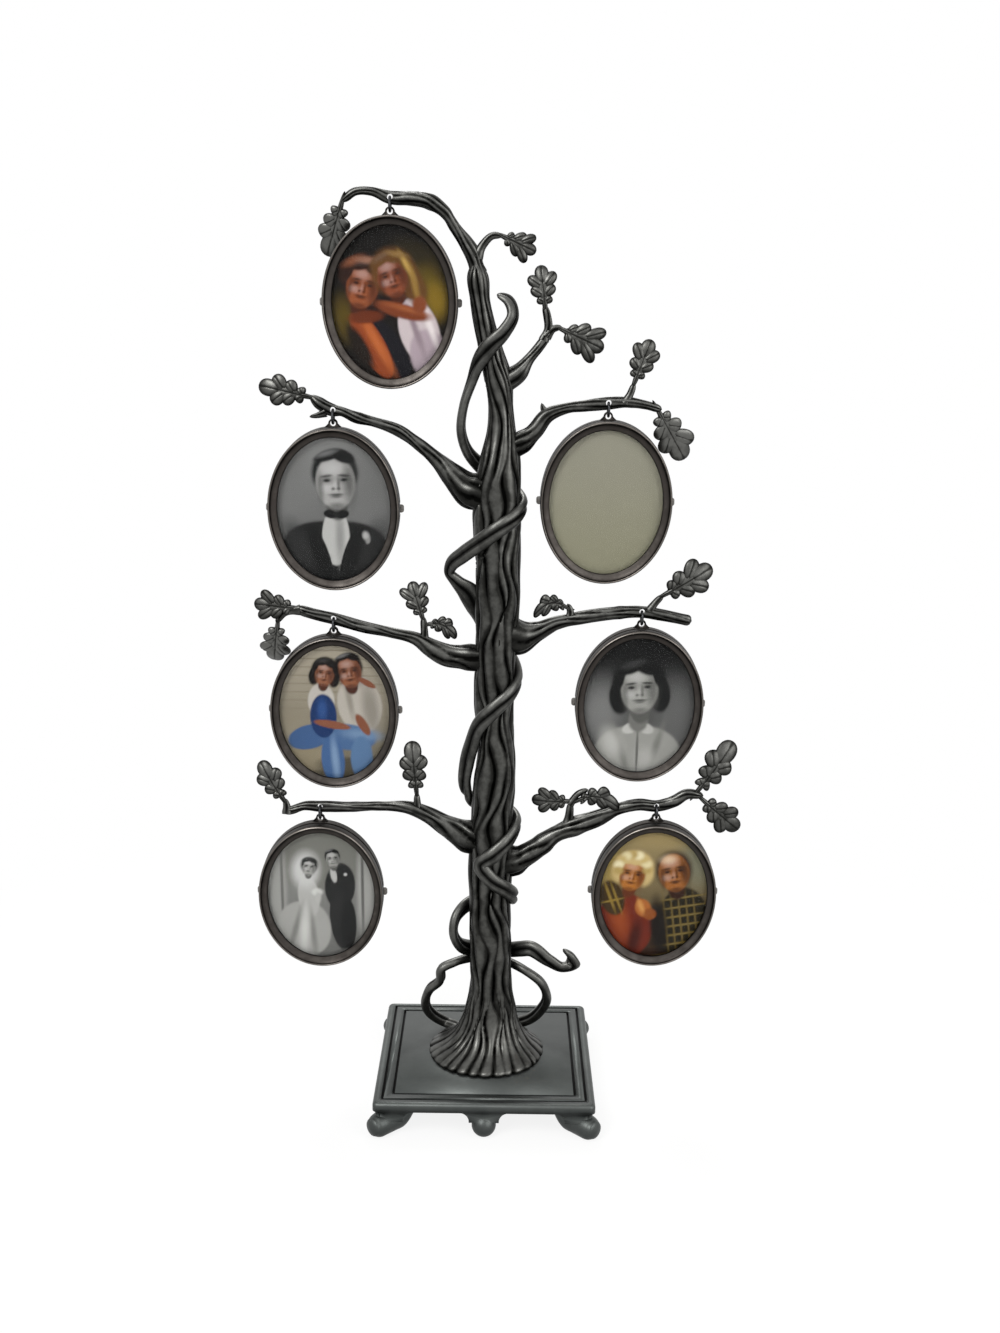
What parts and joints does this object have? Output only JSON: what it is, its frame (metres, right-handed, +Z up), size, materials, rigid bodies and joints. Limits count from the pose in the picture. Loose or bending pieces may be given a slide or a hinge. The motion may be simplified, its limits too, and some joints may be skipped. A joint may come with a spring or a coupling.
{
  "type": "photo tree stand",
  "caption": "Cast tree on a square footed base, with a climbing vine, oak-leaf branches and oval picture frames that hang on rings to sway and nod, with pull-off backs.",
  "frame": {"origin": "on the table, under the middle of the whole width from leaf tip to leaf tip and of the base's depth", "axes": "+Z up, -Y towards the viewer in front of the pictures, +X to the viewer's right"},
  "size_m": [0.171, 0.0796, 0.3136],
  "materials": {
    "tree_metal": "satin",
    "vine_metal": "satin",
    "plate_metal": "satin",
    "frame_metal": "satin",
    "ring_wire": "satin",
    "screw_steel": "satin",
    "lens_glass": "gloss",
    "insert_paper": "satin",
    "back_cover": "matte"
  },
  "bodies": {
    "tree": {"base_plate": "plate_metal", "trunk": "tree_metal", "vine": "vine_metal", "vine_runner": "vine_metal", "branch_top": "tree_metal", "branch_spray": "tree_metal", "branch_upper_left": "tree_metal", "branch_upper_right": "tree_metal", "branch_middle_left": "tree_metal", "branch_middle_right": "tree_metal", "branch_lower_left": "tree_metal", "branch_lower_right": "tree_metal", "trunk_screw": "screw_steel", "trunk_washer": "screw_steel"},
    "ring_top": {"ring_top": "ring_wire"},
    "frame_top": {"frame_top": "frame_metal", "lens_top": "lens_glass", "photo_top": "insert_paper"},
    "back_top": {"back_top": "back_cover"},
    "ring_upper_left": {"ring_upper_left": "ring_wire"},
    "frame_upper_left": {"frame_upper_left": "frame_metal", "lens_upper_left": "lens_glass", "photo_upper_left": "insert_paper"},
    "back_upper_left": {"back_upper_left": "back_cover"},
    "ring_upper_right": {"ring_upper_right": "ring_wire"},
    "frame_upper_right": {"frame_upper_right": "frame_metal", "lens_upper_right": "lens_glass", "photo_upper_right": "insert_paper"},
    "back_upper_right": {"back_upper_right": "back_cover"},
    "ring_middle_left": {"ring_middle_left": "ring_wire"},
    "frame_middle_left": {"frame_middle_left": "frame_metal", "lens_middle_left": "lens_glass", "photo_middle_left": "insert_paper"},
    "back_middle_left": {"back_middle_left": "back_cover"},
    "ring_middle_right": {"ring_middle_right": "ring_wire"},
    "frame_middle_right": {"frame_middle_right": "frame_metal", "lens_middle_right": "lens_glass", "photo_middle_right": "insert_paper"},
    "back_middle_right": {"back_middle_right": "back_cover"},
    "ring_lower_left": {"ring_lower_left": "ring_wire"},
    "frame_lower_left": {"frame_lower_left": "frame_metal", "lens_lower_left": "lens_glass", "photo_lower_left": "insert_paper"},
    "back_lower_left": {"back_lower_left": "back_cover"},
    "ring_lower_right": {"ring_lower_right": "ring_wire"},
    "frame_lower_right": {"frame_lower_right": "frame_metal", "lens_lower_right": "lens_glass", "photo_lower_right": "insert_paper"},
    "back_lower_right": {"back_lower_right": "back_cover"}
  },
  "joints": [
    {"name": "sway_top", "type": "hinge", "parent": "tree", "child": "ring_top", "pos_m": [-0.0368, 0, 0.3107], "axis": [0, 1, 0], "range_deg": [-5, 7]},
    {"name": "nod_top", "type": "hinge", "parent": "ring_top", "child": "frame_top", "pos_m": [-0.0368, 0, 0.3063], "axis": [1, 0, 0], "range_deg": [-18, 6]},
    {"name": "open_top", "type": "slide", "parent": "frame_top", "child": "back_top", "axis": [0, 0.9969, 0.0785], "range_m": [0, 0.01]},
    {"name": "sway_upper_left", "type": "hinge", "parent": "tree", "child": "ring_upper_left", "pos_m": [-0.0559, 0, 0.2435], "axis": [0, 1, 0], "range_deg": [-12, 12]},
    {"name": "nod_upper_left", "type": "hinge", "parent": "ring_upper_left", "child": "frame_upper_left", "pos_m": [-0.0559, 0, 0.2391], "axis": [1, 0, 0], "range_deg": [-18, 18]},
    {"name": "open_upper_left", "type": "slide", "parent": "frame_upper_left", "child": "back_upper_left", "axis": [0, 0.9969, 0.0785], "range_m": [0, 0.01]},
    {"name": "sway_upper_right", "type": "hinge", "parent": "tree", "child": "ring_upper_right", "pos_m": [0.0349, 0, 0.2469], "axis": [0, 1, 0], "range_deg": [-5, 6]},
    {"name": "nod_upper_right", "type": "hinge", "parent": "ring_upper_right", "child": "frame_upper_right", "pos_m": [0.0349, 0, 0.2425], "axis": [1, 0, 0], "range_deg": [-18, 6]},
    {"name": "open_upper_right", "type": "slide", "parent": "frame_upper_right", "child": "back_upper_right", "axis": [0, 0.9969, 0.0785], "range_m": [0, 0.01]},
    {"name": "sway_middle_left", "type": "hinge", "parent": "tree", "child": "ring_middle_left", "pos_m": [-0.0566, 0, 0.1735], "axis": [0, 1, 0], "range_deg": [-6, 6]},
    {"name": "nod_middle_left", "type": "hinge", "parent": "ring_middle_left", "child": "frame_middle_left", "pos_m": [-0.0566, 0, 0.1691], "axis": [1, 0, 0], "range_deg": [-18, 12]},
    {"name": "open_middle_left", "type": "slide", "parent": "frame_middle_left", "child": "back_middle_left", "axis": [0, 0.9969, 0.0785], "range_m": [0, 0.01]},
    {"name": "sway_middle_right", "type": "hinge", "parent": "tree", "child": "ring_middle_right", "pos_m": [0.0483, 0, 0.1772], "axis": [0, 1, 0], "range_deg": [-9, 12]},
    {"name": "nod_middle_right", "type": "hinge", "parent": "ring_middle_right", "child": "frame_middle_right", "pos_m": [0.0483, 0, 0.1728], "axis": [1, 0, 0], "range_deg": [-18, 18]},
    {"name": "open_middle_right", "type": "slide", "parent": "frame_middle_right", "child": "back_middle_right", "axis": [0, 0.9969, 0.0785], "range_m": [0, 0.01]},
    {"name": "sway_lower_left", "type": "hinge", "parent": "tree", "child": "ring_lower_left", "pos_m": [-0.0622, 0, 0.1063], "axis": [0, 1, 0], "range_deg": [-12, 12]},
    {"name": "nod_lower_left", "type": "hinge", "parent": "ring_lower_left", "child": "frame_lower_left", "pos_m": [-0.0622, 0, 0.1019], "axis": [1, 0, 0], "range_deg": [-18, 18]},
    {"name": "open_lower_left", "type": "slide", "parent": "frame_lower_left", "child": "back_lower_left", "axis": [0, 0.9969, 0.0785], "range_m": [0, 0.01]},
    {"name": "sway_lower_right", "type": "hinge", "parent": "tree", "child": "ring_lower_right", "pos_m": [0.0558, 0, 0.108], "axis": [0, 1, 0], "range_deg": [-12, 12]},
    {"name": "nod_lower_right", "type": "hinge", "parent": "ring_lower_right", "child": "frame_lower_right", "pos_m": [0.0558, 0, 0.1036], "axis": [1, 0, 0], "range_deg": [-18, 18]},
    {"name": "open_lower_right", "type": "slide", "parent": "frame_lower_right", "child": "back_lower_right", "axis": [0, 0.9969, 0.0785], "range_m": [0, 0.01]}
  ]
}
